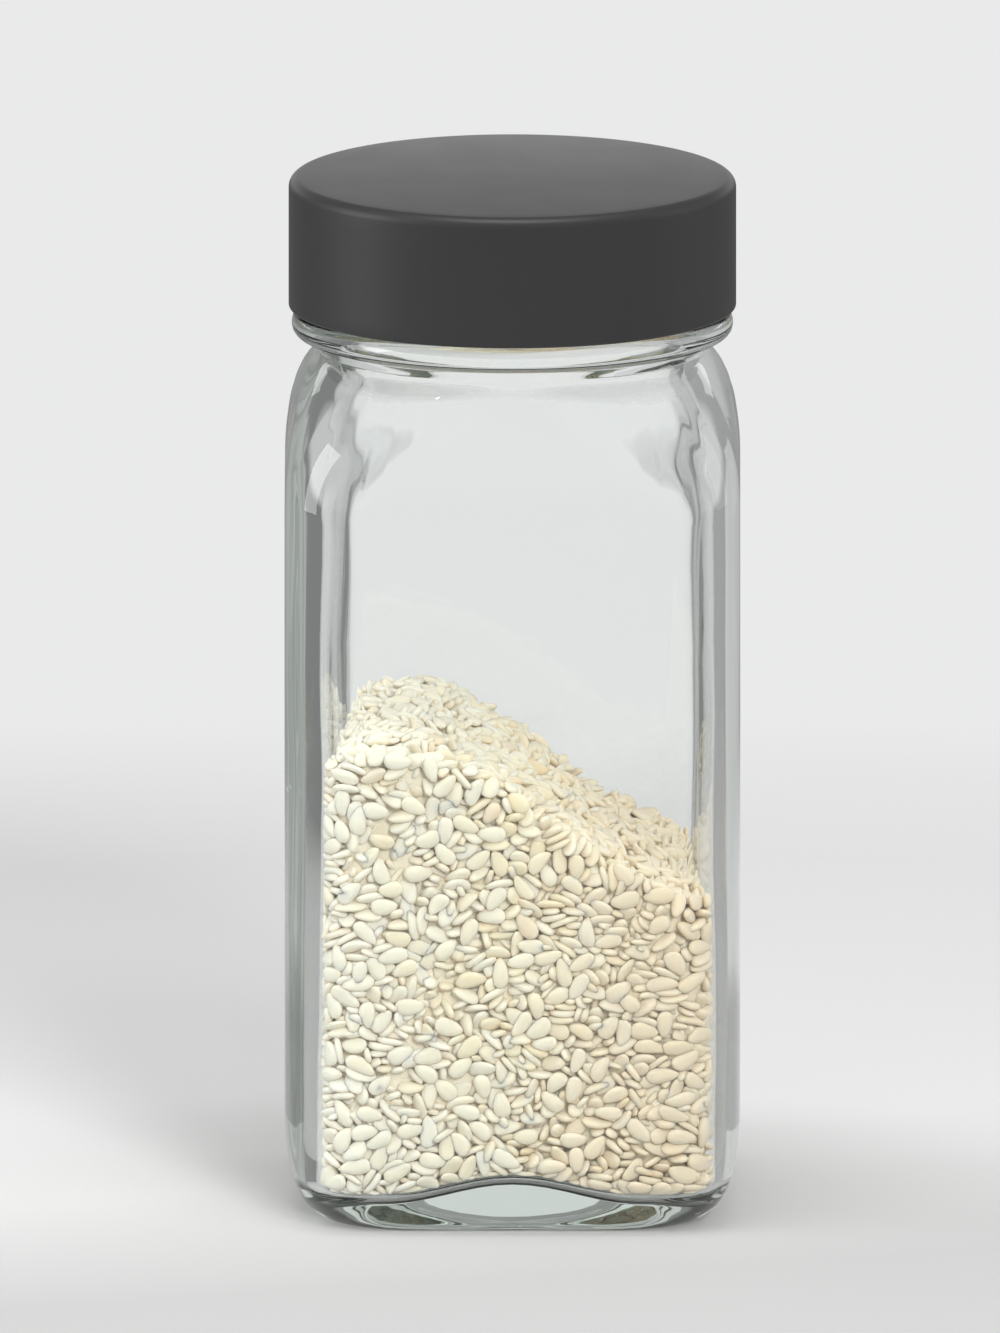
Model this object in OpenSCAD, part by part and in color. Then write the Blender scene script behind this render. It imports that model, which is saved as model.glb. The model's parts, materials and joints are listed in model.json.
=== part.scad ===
// Square glass spice jar with a screw cap, a shaker insert and a part fill of hulled sesame.
// Millimetres, +Z up, origin at the middle of the face that the jar stands on.

/* [Glass body] */
// Width of the square body across its flats
body_w = 50; // [46:0.5:60]
// Radius of the upright corners
corner_r = 8.5; // [6:0.5:12]
// Thickness of the glass in the walls
wall_t = 3; // [2:0.1:4]
// Height of the straight walls, from the base to where the shoulder starts
body_h = 79.5; // [60:0.5:120]
// Height of the shoulder, from the straight walls to its crease with the neck
shoulder_h = 15.2; // [12:0.2:20]
// Share of a quarter ellipse that the shoulder follows before the neck cuts it
shoulder_share = 0.84; // [0.6:0.02:0.9]
// How far above the crease outside the shoulder inside has run into the neck
inner_rise = 2.3; // [1.5:0.1:2.5]
// Height of the shoulder inside, an easy curve from the walls into the neck
inner_shoulder_h = 18; // [14:0.5:20]

/* [Glass base] */
// How far the rounded heel draws in at the face the jar stands on
heel_in = 5; // [3:0.5:6]
// Height of the rounded heel
heel_h = 13; // [8:0.5:18]
// Corner radius of the face the jar stands on
foot_corner_r = 9; // [6:0.5:12]
// Height over which the corners of that face blend into the body's
foot_blend_h = 6.5; // [4:0.5:10]
// Radius of the hollow under the base
punt_r = 13; // [8:0.5:16]
// Depth of the hollow under the base
punt_h = 1.4; // [0.5:0.1:2]
// Height of the floor inside at its middle and along the middle of each side
floor_z = 5.7; // [5:0.1:8]
// Height of the floor inside at its four corners
floor_corner_z = 3.6; // [3.2:0.1:4.8]
// Distance from the middle at which the floor has dipped to that height
floor_dip_at = 14; // [10:0.5:17]
// Radius between the floor and the walls inside
floor_fillet = 2.5; // [2:0.5:5]
// Corner radius of the floor inside
floor_corner_r = 4; // [2:0.5:6]

/* [Neck finish] */
// Outside diameter of the neck
neck_d = 43.2; // [40:0.2:46]
// Thickness of the glass in the neck
neck_t = 2.6; // [2:0.1:4]
// Bare neck between the shoulder and the bead
neck_gap = 1.7; // [1:0.1:4]
// How far the bead under the cap lies inside the cap's outline
bead_inset = 0.35; // [0.2:0.05:1]
// Height of the bead
bead_h = 2.5; // [2:0.1:4]
// Rounding of the bead's edges
bead_edge_r = 1.1; // [0.3:0.1:1.2]
// Height of the finish above the bead
finish_h = 10.1; // [9.6:0.1:16]
// Rounding of the rim
rim_r = 0.8; // [0.2:0.1:1]
// Rise of the thread in one turn
thread_pitch = 4; // [3.6:0.1:4.4]
// How far the thread ridge stands out of the neck
thread_depth = 1; // [0.6:0.1:1.4]
// Width of the thread ridge at its root
thread_root_w = 1.6; // [1.2:0.1:1.7]
// Width of the thread ridge at its crest
thread_crest_w = 0.8; // [0.4:0.1:1]
// Turns of thread on the neck
thread_turns = 1.25; // [1:0.05:1.4]
// Height of the thread's lower end above the bead
thread_rise = 2.7; // [2:0.1:3.3]

/* [Cap] */
// Rounding of the cap's top edge
cap_edge_r = 1.2; // [0.4:0.1:2]
// Rounding of the cap's lower edge
cap_lip_r = 0.3; // [0.1:0.05:0.4]
// Wall of the outer shell
shell_t = 0.9; // [0.7:0.1:1.2]
// Top plate of the outer shell
shell_top_t = 1.2; // [0.8:0.1:2]
// Wall of the threaded inner cap, outside its thread
inner_wall_t = 0.7; // [0.6:0.05:1.5]
// Top plate of the threaded inner cap
inner_top_t = 1.2; // [0.8:0.1:2]
// How far the inner cap stops short of the shell's lower edge
inner_recess = 0.5; // [0.3:0.1:1.5]
// Turns of thread in the cap
cap_thread_turns = 1.1; // [0.8:0.05:1.2]
// Height of the cap thread's lower end above the inner cap's edge
cap_thread_rise = 1.1; // [1:0.1:2]
// Height of the bead that keeps the liner in the cap
keeper_h = 0.7; // [0.4:0.1:1]
// How far that bead stands in
keeper_in = 0.7; // [0.5:0.05:0.9]
// Thickness of the sealing liner
liner_t = 1.5; // [0.8:0.1:2]

/* [Shaker insert] */
// Thickness of the insert's plate, which seats on the rim
plate_t = 1; // [0.8:0.1:1.6]
// Depth of the insert's skirt in the neck
skirt_h = 7; // [5:0.5:9]
// Wall of the insert's skirt
skirt_t = 0.9; // [0.7:0.1:1.4]
// Diameter of each sifting hole
sift_d = 5.2; // [3:0.1:5.6]
// Distance of the other sifting holes from the middle one
sift_ring_r = 10.5; // [8:0.5:13]
// Number of sifting holes round the middle one
sift_count = 6; // [4:1:8]

/* [Sesame] */
// Height of the crest of the heap
heap_high = 54.6; // [40:0.5:58]
// Height of the foot of the heap
heap_low = 37; // [20:0.5:38]
// Distance of the crest from the middle, towards the left
heap_crest = 14; // [8:0.5:18]
// Length of the slope from the crest down to the foot
heap_run = 38; // [30:0.5:44]
// Length of the slope on the other side of the crest
heap_back_run = 28; // [20:0.5:36]
// Depth of the dips between the lumps of seed on the heap's surface
lump_h = 1.1; // [0.4:0.1:1.4]
// Distance between neighbouring lumps
lump_pitch = 5.9; // [5:0.1:8]

/* [Clearances] */
// Gap between the cap's lower edge and the bead
bead_gap = 0.5; // [0.3:0.05:1.5]
// Gap between the thread crests and the roots they face
crest_gap = 0.3; // [0.2:0.05:0.4]
// Gap between the flanks of the two threads
flank_gap = 0.25; // [0.15:0.05:0.4]
// Gap between the inner cap and the shell
shell_gap = 0.05; // [0.02:0.01:0.1]
// Gap between the insert's snap rib and the neck
snap_gap = 0.03; // [0.02:0.01:0.05]
// Gap between the insert's skirt and the neck
skirt_gap = 0.2; // [0.15:0.05:0.3]
// Gap between the sesame and the glass
heap_gap = 0.25; // [0.2:0.05:0.4]

/* [Hidden] */
$fn = 96;

half_w = body_w / 2;
neck_r = neck_d / 2;
bore_r = neck_r - neck_t;
crease_z = body_h + shoulder_h;
bead_z = crease_z + neck_gap;
bead_top_z = bead_z + bead_h;
rim_z = bead_top_z + finish_h;
bore_z = crease_z + inner_rise;
inner_shoulder_z = bore_z - inner_shoulder_h;

inner_half_w = half_w - wall_t;
inner_corner_r = corner_r - wall_t;
floor_half_w = inner_half_w - floor_fillet;

thread_sink = 0.3;
male_z = bead_top_z + thread_rise;
root_r = neck_r + thread_depth + crest_gap;
// The cap's ridge hangs this far under the neck's at every angle
ridge_drop = thread_root_w + flank_gap;

plate_top_z = rim_z + plate_t;
liner_top_z = plate_top_z + liner_t;
inner_top_z = liner_top_z + inner_top_t;
cap_z = bead_top_z + bead_gap;
cap_h = inner_top_z + shell_top_t - cap_z;
inner_r = root_r + inner_wall_t;
shell_r = inner_r + shell_gap;
cap_r = shell_r + shell_t;
bead_r = cap_r - bead_inset;
inner_z = cap_z + inner_recess;
female_z = inner_z + cap_thread_rise;
keeper_r = root_r - keeper_in;
liner_r = root_r - crest_gap;

plate_r = neck_r - rim_r / 2;
skirt_r = bore_r - skirt_gap;
snap_r = bore_r - snap_gap;
snap_h = 1.2;
skirt_lead = 0.4;

// How many steps a ring of points has in each flat and in each corner
outside_cuts = [1, 9];
inside_cuts = [6, 9];
arc_steps = 6;
inner_shoulder_steps = 9;
thread_steps = 32;
end_turn = 0.06;
eps = 0.02;

heap_half_w = inner_half_w - heap_gap;
heap_corner_r = inner_corner_r - heap_gap;
heap_round = 8 * (heap_half_w - heap_corner_r) + 2 * PI * heap_corner_r;
// Lumps and dips alternate like a chessboard's fields, so a row is narrower than the lumps' distance
row_pitch = lump_pitch / sqrt(2);
row_lumps = round(heap_round / row_pitch / 2);
lump_points = 4;
heap_corner_cuts = 4;
heap_cuts = [row_lumps * lump_points / 4 - heap_corner_cuts, heap_corner_cuts];
wall_rows = round((heap_high - floor_z - floor_fillet) / row_pitch);
top_rows = round(heap_half_w / row_pitch);

// One point of the arc round corner c, of a square of half-width w with corners of radius r
function corner_point(w, r, z, c, a) =
    let (q = 45 + 90 * c, m = (w - r) * sqrt(2))
        [m * cos(q) + r * cos(a), m * sin(q) + r * sin(a), z];

// A ring of points round that square
function ring(w, r, z, cuts = outside_cuts) = [
    for (c = [0:3])
        let (last = corner_point(w, r, z, c, 90 * c + 90), next = corner_point(w, r, z, c + 1, 90 * c + 90))
            each concat(
                [for (i = [0:cuts.y]) corner_point(w, r, z, c, 90 * (c + i / cuts.y))],
                [for (j = [1:1:cuts.x - 1]) last + (next - last) * j / cuts.x]
            )
];

// How far the shoulder has drawn in on its quarter ellipse, from 0 at the walls to 1 at the neck
function drawn_in(t) = (1 - sqrt(1 - pow(t * shoulder_share, 2))) / (1 - sqrt(1 - pow(shoulder_share, 2)));

// A ring of points that share k has turned from the body's square into the neck's circle
function turned_ring(k, w, r, end_r, z, cuts) =
    let (end_w = end_r + cuts.x * eps)
        ring(w + (end_w - w) * k, r + (end_r - r) * k, z, cuts);

// One ring of the heel, from the face the jar stands on (a = 90) up to the walls (a = 0)
function heel_ring(a) =
    let (
        inset = heel_in * (1 - cos(a)),
        z = heel_h * (1 - sin(a)),
        blend = pow(max(0, 1 - z / foot_blend_h), 2),
        r = corner_r - inset + blend * (foot_corner_r - corner_r + heel_in)
    )
        ring(half_w - inset, r, z);

// 0 in the middle of the floor and 1 where it has dipped, along one axis
function edge_share(u) = (1 - cos(180 * min(1, abs(u) / floor_dip_at))) / 2;

// The floor inside is high in the middle and along each side, and dips into the four corners
function floor_at(x, y) = floor_z - (floor_z - floor_corner_z) * edge_share(x) * edge_share(y);

function lifted(points, up) = [for (p = points) [p.x, p.y, floor_at(p.x, p.y) + up]];

// The floor's rings, from near the middle to where the fillet starts
function floor_rings(gap, cuts) = [
    for (k = [0.25:0.25:1])
        lifted(ring(floor_half_w * k, floor_corner_r * k, 0, cuts), gap)
];

// The fillet's rings, from the floor up to the wall
function fillet_rings(gap, cuts) = [
    for (i = [1:arc_steps])
        let (a = 90 * i / arc_steps, f = floor_fillet)
            lifted(
                ring(
                    inner_half_w - gap - (f - gap) * (1 - sin(a)),
                    floor_corner_r + (inner_corner_r - gap - floor_corner_r) * sin(a),
                    0,
                    cuts
                ),
                gap + (f - gap) * (1 - cos(a))
            )
];

// A closed solid through a stack of rings, each with the same number of points
module loft(rings) {
    n = len(rings[0]);
    m = len(rings);
    low = [for (k = [0:2]) [for (p = rings[0]) p[k]] * [for (p = rings[0]) 1 / n]];
    high = [for (k = [0:2]) [for (p = rings[m - 1]) p[k]] * [for (p = rings[0]) 1 / n]];
    points = concat([for (g = rings) each g], [low, high]);
    sides = [
        for (j = [0:m - 2])
            for (i = [0:n - 1])
                let (a = j * n + i, b = j * n + (i + 1) % n)
                    each [[a, a + n, b], [b, a + n, b + n]]
    ];
    ends = [
        for (i = [0:n - 1])
            let (b = (i + 1) % n, t = (m - 1) * n)
                each [[m * n, i, b], [m * n + 1, t + b, t + i]]
    ];
    polyhedron(points = points, faces = concat(sides, ends));
}

// A helical ridge on a cylinder of radius r, standing out (side = 1) or in (side = -1)
module ridge(r, depth, side, z, turns, start) {
    steps = ceil(turns * thread_steps);
    sections = [
        for (i = [0:steps])
            let (
                u = i / steps * turns,
                a = start + 360 * u,
                full = min(1, min(u, turns - u) / end_turn),
                crest = r + side * depth * max(0.1, full),
                root = r - side * thread_sink,
                zc = z + thread_pitch * u,
                flank = [
                    [root, -thread_root_w / 2],
                    [crest, -thread_crest_w / 2],
                    [crest, thread_crest_w / 2],
                    [root, thread_root_w / 2]
                ]
            )
                [for (p = flank) [p.x * cos(a), p.x * sin(a), zc + p.y]]
    ];
    sides = [
        for (i = [0:steps - 1])
            for (k = [0:3])
                let (a = i * 4 + k, b = i * 4 + (k + 1) % 4)
                    each [[a, a + 4, b], [b, a + 4, b + 4]]
    ];
    ends = [[0, 1, 2, 3], [for (k = [3:-1:0]) steps * 4 + k]];
    faces = concat(sides, ends);
    turned = [for (f = faces) [for (k = [len(f) - 1:-1:0]) f[k]]];
    polyhedron(points = [for (s = sections) each s], faces = side > 0 ? turned : faces);
}

// Half of an upright section with rounded outer corners, from radius r0 to r1
module rounded_band(r0, r1, z, h, top_r, low_r) {
    band_w = r1 - r0;
    difference() {
        translate([r0, z]) square([band_w, h]);
        translate([r1 - top_r, z + h - top_r]) square([top_r + 1, top_r + 1]);
        translate([r1 - low_r, z - 1]) square([low_r + 1, low_r + 1]);
    }
    intersection() {
        translate([r0, z]) square([band_w, h]);
        translate([r1 - top_r, z + h - top_r]) circle(top_r);
    }
    intersection() {
        translate([r0, z]) square([band_w, h]);
        translate([r1 - low_r, z + low_r]) circle(low_r);
    }
}

module glass_outside() {
    heel = [for (i = [arc_steps:-1:0]) heel_ring(90 * i / arc_steps)];
    shoulder = [
        for (i = [0:arc_steps])
            let (t = i / arc_steps)
                turned_ring(drawn_in(t), half_w, corner_r, neck_r, body_h + shoulder_h * t, outside_cuts)
    ];
    // The last ring lies inside the neck, so the two solids cross cleanly
    tuck = neck_gap / 2;
    loft(concat(heel, shoulder, [ring(neck_r - tuck, neck_r - tuck - eps, crease_z + tuck)]));
}

module glass_inside() {
    shoulder = [
        for (i = [0:inner_shoulder_steps])
            let (
                t = i / inner_shoulder_steps,
                k = t * t * (3 - 2 * t),
                z = inner_shoulder_z + inner_shoulder_h * t
            )
                turned_ring(k, inner_half_w, inner_corner_r, bore_r, z, inside_cuts)
    ];
    // The last ring lies inside the bore, so the two solids cross cleanly
    tuck = neck_t / 2;
    last = ring(bore_r - tuck, bore_r - tuck - inside_cuts.x * eps, bore_z + tuck, inside_cuts);
    loft(concat(floor_rings(0, inside_cuts), fillet_rings(0, inside_cuts), shoulder, [last]));
}

module glass_neck() {
    rotate_extrude() {
        rounded_band(bore_r, neck_r, crease_z - neck_gap, rim_z - crease_z + neck_gap, rim_r, eps);
        rounded_band(bore_r + 1, bead_r, bead_z, bead_h, bead_edge_r, bead_edge_r);
    }
    ridge(neck_r, thread_depth, 1, male_z, thread_turns, 0);
}

module glass_jar() {
    punt_ball_r = (punt_r * punt_r + punt_h * punt_h) / (2 * punt_h);
    color([0.85, 0.91, 0.89, 0.45])
        difference() {
            union() {
                glass_outside();
                glass_neck();
            }
            glass_inside();
            translate([0, 0, bore_z - 1]) cylinder(h = rim_z, r = bore_r);
            translate([0, 0, punt_h - punt_ball_r]) sphere(punt_ball_r);
        }
}

// A ring of holes round a middle one
module sift_holes() {
    translate([0, 0, rim_z - 1]) cylinder(h = plate_t + 2, d = sift_d);
    for (i = [0:sift_count - 1])
        rotate(360 * i / sift_count)
            translate([sift_ring_r, 0, rim_z - 1])
                cylinder(h = plate_t + 2, d = sift_d);
}

module shaker_insert() {
    color([0.93, 0.93, 0.91])
        difference() {
            rotate_extrude()
                polygon([
                    [0, rim_z],
                    [0, plate_top_z],
                    [plate_r, plate_top_z],
                    [plate_r, rim_z],
                    [skirt_r, rim_z],
                    [skirt_r, rim_z - snap_h],
                    [snap_r, rim_z - 1.5 * snap_h],
                    [snap_r, rim_z - 2 * snap_h],
                    [skirt_r, rim_z - 2.5 * snap_h],
                    [skirt_r, rim_z - skirt_h + skirt_lead],
                    [skirt_r - skirt_lead, rim_z - skirt_h],
                    [skirt_r - skirt_t, rim_z - skirt_h],
                    [skirt_r - skirt_t, rim_z]
                ]);
            sift_holes();
        }
}

module cap_shell() {
    color([0.26, 0.26, 0.265])
        rotate_extrude()
            difference() {
                rounded_band(0, cap_r, cap_z, cap_h, cap_edge_r, cap_lip_r);
                translate([-1, cap_z - 1]) square([shell_r + 1, cap_h - shell_top_t + 1]);
            }
}

module cap_inner() {
    color([0.17, 0.17, 0.175]) {
        difference() {
            translate([0, 0, inner_z]) cylinder(h = inner_top_z - inner_z, r = inner_r);
            translate([0, 0, inner_z - 1]) cylinder(h = liner_top_z - inner_z + 1, r = root_r);
        }
        // The bead that the liner is pushed past, with a slope on its lower side
        rotate_extrude()
            polygon([
                [root_r + thread_sink, plate_top_z - eps],
                [keeper_r, plate_top_z - eps],
                [keeper_r, plate_top_z - keeper_h / 2],
                [root_r + thread_sink, plate_top_z - keeper_h - keeper_in / 2]
            ]);
        cap_thread();
    }
}

// The cap's ridge lies on the neck's own helix, ridge_drop lower
module cap_thread() {
    rise_turns = (female_z - male_z + ridge_drop) / thread_pitch;
    ridge(root_r, thread_depth, -1, female_z, cap_thread_turns, 360 * rise_turns);
}

module cap_liner() {
    color([0.92, 0.91, 0.87])
        translate([0, 0, plate_top_z]) cylinder(h = liner_t, r = liner_r);
}

// Height of the heap at x: a smooth slope down to the right, a shorter one to the left
function heap_at(x) =
    let (run = x < -heap_crest ? heap_back_run : heap_run, u = min(1, abs(x + heap_crest) / run))
        heap_low + (heap_high - heap_low) * (1 + cos(180 * u)) / 2;

// How deep point i of a row with so many lumps lies: 0 on a lump and 1 in a dip
function dip(i, row, lumps) =
    (1 - cos(360 * lumps * i / (row_lumps * lump_points)) * cos(180 * row)) / 2;

// One row of the heap's sides, from the fillet (row 0) up to the heap's edge
function side_row(row) =
    let (
        full = ring(heap_half_w, heap_corner_r, 0, heap_cuts),
        deep = ring(heap_half_w - lump_h, heap_corner_r - lump_h, 0, heap_cuts)
    )
        [
            for (i = [0:len(full) - 1])
                let (
                    p = full[i] + (deep[i] - full[i]) * dip(i, row, row_lumps),
                    low = floor_at(p.x, p.y) + floor_fillet
                )
                    [p.x, p.y, low + (heap_at(p.x) - low) * row / wall_rows]
        ];

// One row of the heap's top, from its edge in towards the middle
function top_row(row) =
    let (k = 1 - row / (top_rows + 0.5), row_ring = ring(heap_half_w * k, heap_corner_r * k, 0, heap_cuts))
        [
            for (i = [0:len(row_ring) - 1])
                let (p = row_ring[i], d = dip(i, row, round(row_lumps * k)))
                    [p.x, p.y, heap_at(p.x) - lump_h * d]
        ];

module sesame_seeds() {
    sides = [for (row = [1:wall_rows]) side_row(row)];
    top = [for (row = [1:top_rows]) top_row(row)];
    color([0.93, 0.89, 0.78])
        loft(concat(floor_rings(heap_gap, heap_cuts), fillet_rings(heap_gap, heap_cuts), sides, top));
}

glass_jar();
shaker_insert();
cap_shell();
cap_inner();
cap_liner();
sesame_seeds();
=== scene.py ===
# Square glass spice jar with a screw cap and a part fill of hulled sesame, built round its CAD frame.
# Shapes are worked out in millimetres and scaled to metres when a mesh is made.
import json
import math

import bpy
import numpy as np
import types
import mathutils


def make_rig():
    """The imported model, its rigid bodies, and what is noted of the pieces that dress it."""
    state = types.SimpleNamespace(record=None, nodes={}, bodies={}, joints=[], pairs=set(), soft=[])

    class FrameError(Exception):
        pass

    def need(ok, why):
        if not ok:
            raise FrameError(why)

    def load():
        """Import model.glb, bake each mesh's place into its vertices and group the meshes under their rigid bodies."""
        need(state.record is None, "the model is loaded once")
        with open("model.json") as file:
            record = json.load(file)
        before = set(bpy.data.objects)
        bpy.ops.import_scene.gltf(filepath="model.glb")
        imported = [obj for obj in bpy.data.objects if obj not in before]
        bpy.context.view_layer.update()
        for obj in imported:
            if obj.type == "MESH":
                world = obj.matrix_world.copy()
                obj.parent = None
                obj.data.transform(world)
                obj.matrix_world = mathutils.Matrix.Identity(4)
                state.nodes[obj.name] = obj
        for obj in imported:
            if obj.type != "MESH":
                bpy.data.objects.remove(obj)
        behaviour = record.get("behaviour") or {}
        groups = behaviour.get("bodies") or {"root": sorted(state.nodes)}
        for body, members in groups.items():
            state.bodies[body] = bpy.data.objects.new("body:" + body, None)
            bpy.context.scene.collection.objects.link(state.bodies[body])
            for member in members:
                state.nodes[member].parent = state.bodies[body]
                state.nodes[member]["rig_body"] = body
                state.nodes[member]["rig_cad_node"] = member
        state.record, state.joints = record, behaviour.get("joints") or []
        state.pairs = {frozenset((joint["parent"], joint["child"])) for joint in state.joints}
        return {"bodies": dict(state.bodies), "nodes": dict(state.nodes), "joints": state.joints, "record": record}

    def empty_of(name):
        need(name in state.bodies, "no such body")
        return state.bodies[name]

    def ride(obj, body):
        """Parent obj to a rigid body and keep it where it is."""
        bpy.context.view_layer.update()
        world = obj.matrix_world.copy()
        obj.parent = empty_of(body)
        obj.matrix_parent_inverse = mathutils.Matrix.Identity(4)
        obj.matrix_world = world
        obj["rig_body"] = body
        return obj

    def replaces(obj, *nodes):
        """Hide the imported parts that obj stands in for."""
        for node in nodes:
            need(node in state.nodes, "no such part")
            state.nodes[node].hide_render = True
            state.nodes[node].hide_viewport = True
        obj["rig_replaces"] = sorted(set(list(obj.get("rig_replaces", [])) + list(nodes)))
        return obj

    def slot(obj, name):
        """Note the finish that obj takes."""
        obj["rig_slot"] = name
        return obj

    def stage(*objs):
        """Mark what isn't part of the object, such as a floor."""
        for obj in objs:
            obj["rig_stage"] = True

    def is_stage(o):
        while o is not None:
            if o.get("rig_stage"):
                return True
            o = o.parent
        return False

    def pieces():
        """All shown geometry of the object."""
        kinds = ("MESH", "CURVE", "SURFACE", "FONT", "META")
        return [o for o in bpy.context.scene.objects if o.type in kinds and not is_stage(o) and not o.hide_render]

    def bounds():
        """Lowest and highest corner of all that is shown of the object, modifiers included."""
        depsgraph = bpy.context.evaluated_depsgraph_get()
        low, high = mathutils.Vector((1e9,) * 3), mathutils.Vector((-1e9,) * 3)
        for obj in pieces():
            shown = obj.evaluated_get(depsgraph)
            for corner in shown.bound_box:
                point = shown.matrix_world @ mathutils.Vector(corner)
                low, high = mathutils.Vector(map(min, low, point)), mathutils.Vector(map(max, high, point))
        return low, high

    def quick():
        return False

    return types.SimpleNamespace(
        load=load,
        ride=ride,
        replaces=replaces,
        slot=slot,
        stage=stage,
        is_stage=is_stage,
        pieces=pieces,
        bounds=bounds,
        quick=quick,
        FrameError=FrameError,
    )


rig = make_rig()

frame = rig.load()
cad_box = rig.bounds()

MM = 0.001
TAU = 2 * math.pi

# ---- Sizes, the same as the CAD part's ----
HALF_W, CORNER_R, WALL_T, BODY_H = 25.0, 8.5, 3.0, 79.5
SHOULDER_H, SHOULDER_SHARE = 15.2, 0.84
CREASE_Z = BODY_H + SHOULDER_H
INNER_SHOULDER_TOP_Z = CREASE_Z + 2.3
INNER_SHOULDER_H = 18.0
INNER_SHOULDER_Z = INNER_SHOULDER_TOP_Z - INNER_SHOULDER_H
HEEL_IN, HEEL_H, FOOT_CORNER_R, FOOT_BLEND_H = 5.0, 13.0, 9.0, 6.5
PUNT_R, PUNT_H = 13.0, 1.4
FLOOR_Z, FLOOR_CORNER_Z, FLOOR_DIP_AT = 5.7, 3.6, 14.0
FLOOR_FILLET, FLOOR_CORNER_R = 2.5, 4.0
NECK_R, NECK_T = 21.6, 2.6
BORE_R = NECK_R - NECK_T
BEAD_Z = CREASE_Z + 1.7
BEAD_TOP_Z = BEAD_Z + 2.5
BEAD_R, BEAD_EDGE_R = 24.2, 1.1
RIM_Z = BEAD_TOP_Z + 10.1
RIM_R = 0.8
PITCH, THREAD_DEPTH, ROOT_W, CREST_W = 4.0, 1.0, 1.6, 0.8
MALE_Z, MALE_TURNS = BEAD_TOP_Z + 2.7, 1.25
END_TURN = 0.06
INNER_HALF_W = HALF_W - WALL_T
INNER_CORNER_R = CORNER_R - WALL_T
FLOOR_HALF_W = INNER_HALF_W - FLOOR_FILLET
CAP_Z, CAP_TOP_Z, CAP_R, SHELL_R = 99.4, 113.9, 24.55, 23.65
CAP_EDGE_R, CAP_LIP_R, SHELL_TOP_T = 1.2, 0.3, 1.2
INNER_Z, INNER_TOP_Z, INNER_R, ROOT_R = 99.9, 112.7, 23.6, 22.9
PLATE_TOP_Z, LINER_TOP_Z, LINER_R, KEEPER_R = 110.0, 111.5, 22.6, 22.2
KEEPER_H, KEEPER_IN = 0.7, 0.7
FEMALE_Z, FEMALE_TURNS = INNER_Z + 1.1, 1.1
RIDGE_DROP = ROOT_W + 0.25
PLATE_R, SKIRT_R, SNAP_R, SKIRT_T, SKIRT_H = 21.2, 18.8, 18.97, 0.9, 7.0
SIFT_R, SIFT_RING_R, SIFT_COUNT = 2.6, 10.5, 6
HEAP_HIGH, HEAP_LOW, HEAP_CREST, HEAP_RUN, HEAP_BACK_RUN = 54.6, 37.0, 14.0, 38.0, 28.0


# ---- Mesh helpers ----
def piece(name, points, faces, material, body, slot_name, floats=None):
    """A smooth mesh from points in mm and one array of faces for each face size."""
    points = np.asarray(points, float)
    mesh = bpy.data.meshes.new(name)
    loops = np.concatenate([np.asarray(f, np.int32).ravel() for f in faces])
    sizes = np.concatenate([np.full(len(f), len(f[0]), np.int32) for f in faces])
    starts = np.concatenate([[0], np.cumsum(sizes)[:-1]]).astype(np.int32)
    mesh.vertices.add(len(points))
    mesh.vertices.foreach_set("co", (points * MM).astype(np.float32).ravel())
    mesh.loops.add(len(loops))
    mesh.loops.foreach_set("vertex_index", loops)
    mesh.polygons.add(len(sizes))
    mesh.polygons.foreach_set("loop_start", starts)
    mesh.polygons.foreach_set("loop_total", sizes)
    mesh.polygons.foreach_set("use_smooth", np.ones(len(sizes), bool))
    for key, values in (floats or {}).items():
        layer = mesh.attributes.new(key, "FLOAT", "POINT")
        layer.data.foreach_set("value", np.asarray(values, np.float32))
    mesh.update(calc_edges=True)
    mesh.validate()
    mesh.materials.append(material)
    obj = bpy.data.objects.new(name, mesh)
    bpy.context.scene.collection.objects.link(obj)
    if body:
        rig.ride(obj, body)
        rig.slot(obj, slot_name)
    return obj


def ring_faces(rings, columns, start=0, closed=False):
    """Quads between successive rings of so many points; closed joins the last ring to the first."""
    j = np.arange(rings if closed else rings - 1)[:, None] * columns
    k = (np.arange(rings if closed else rings - 1)[:, None] + 1) % rings * columns
    i = np.arange(columns)[None]
    i2 = (i + 1) % columns
    return start + np.stack([j + i, j + i2, k + i2, k + i], -1).reshape(-1, 4)


def fan(ring_start, columns, centre, flip=False):
    i = np.arange(columns)
    a, b = ring_start + i, ring_start + (i + 1) % columns
    c = np.full(columns, centre)
    return np.stack([b, a, c] if flip else [a, b, c], -1)


def arc(cx, cz, r, a0, a1, steps):
    """Points of an arc in the half section, angles in degrees."""
    a = np.radians(np.linspace(a0, a1, steps))
    return np.stack([cx + r * np.cos(a), cz + r * np.sin(a)], -1)


def line(x0, z0, x1, z1, steps):
    t = np.linspace(0, 1, steps)[:, None]
    return np.array([x0, z0]) * (1 - t) + np.array([x1, z1]) * t


def joined(parts):
    """Joins profile parts and drops points that repeat."""
    p = np.concatenate(parts)
    keep = np.concatenate([[True], np.hypot(*np.diff(p, axis=0).T) > 1e-4])
    return p[keep]


def helix_height(z, angle, z0, turns, start, crest_w, root_w):
    """0 to 1: how far a thread ridge stands out at height z and angle, tapered at its ends."""
    out = np.zeros(np.broadcast(z, angle).shape)
    for lap in range(-1, int(math.ceil(turns)) + 1):
        u = (angle - start) / TAU + lap
        full = np.clip(np.minimum(u, turns - u) / END_TURN, 0, 1)
        full = full * full * (3 - 2 * full)
        off = np.abs(z - (z0 + PITCH * u))
        wall = np.clip((root_w / 2 - off) / ((root_w - crest_w) / 2), 0, 1)
        wall = wall * wall * (3 - 2 * wall)
        out = np.maximum(out, full * wall)
    return out


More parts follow.
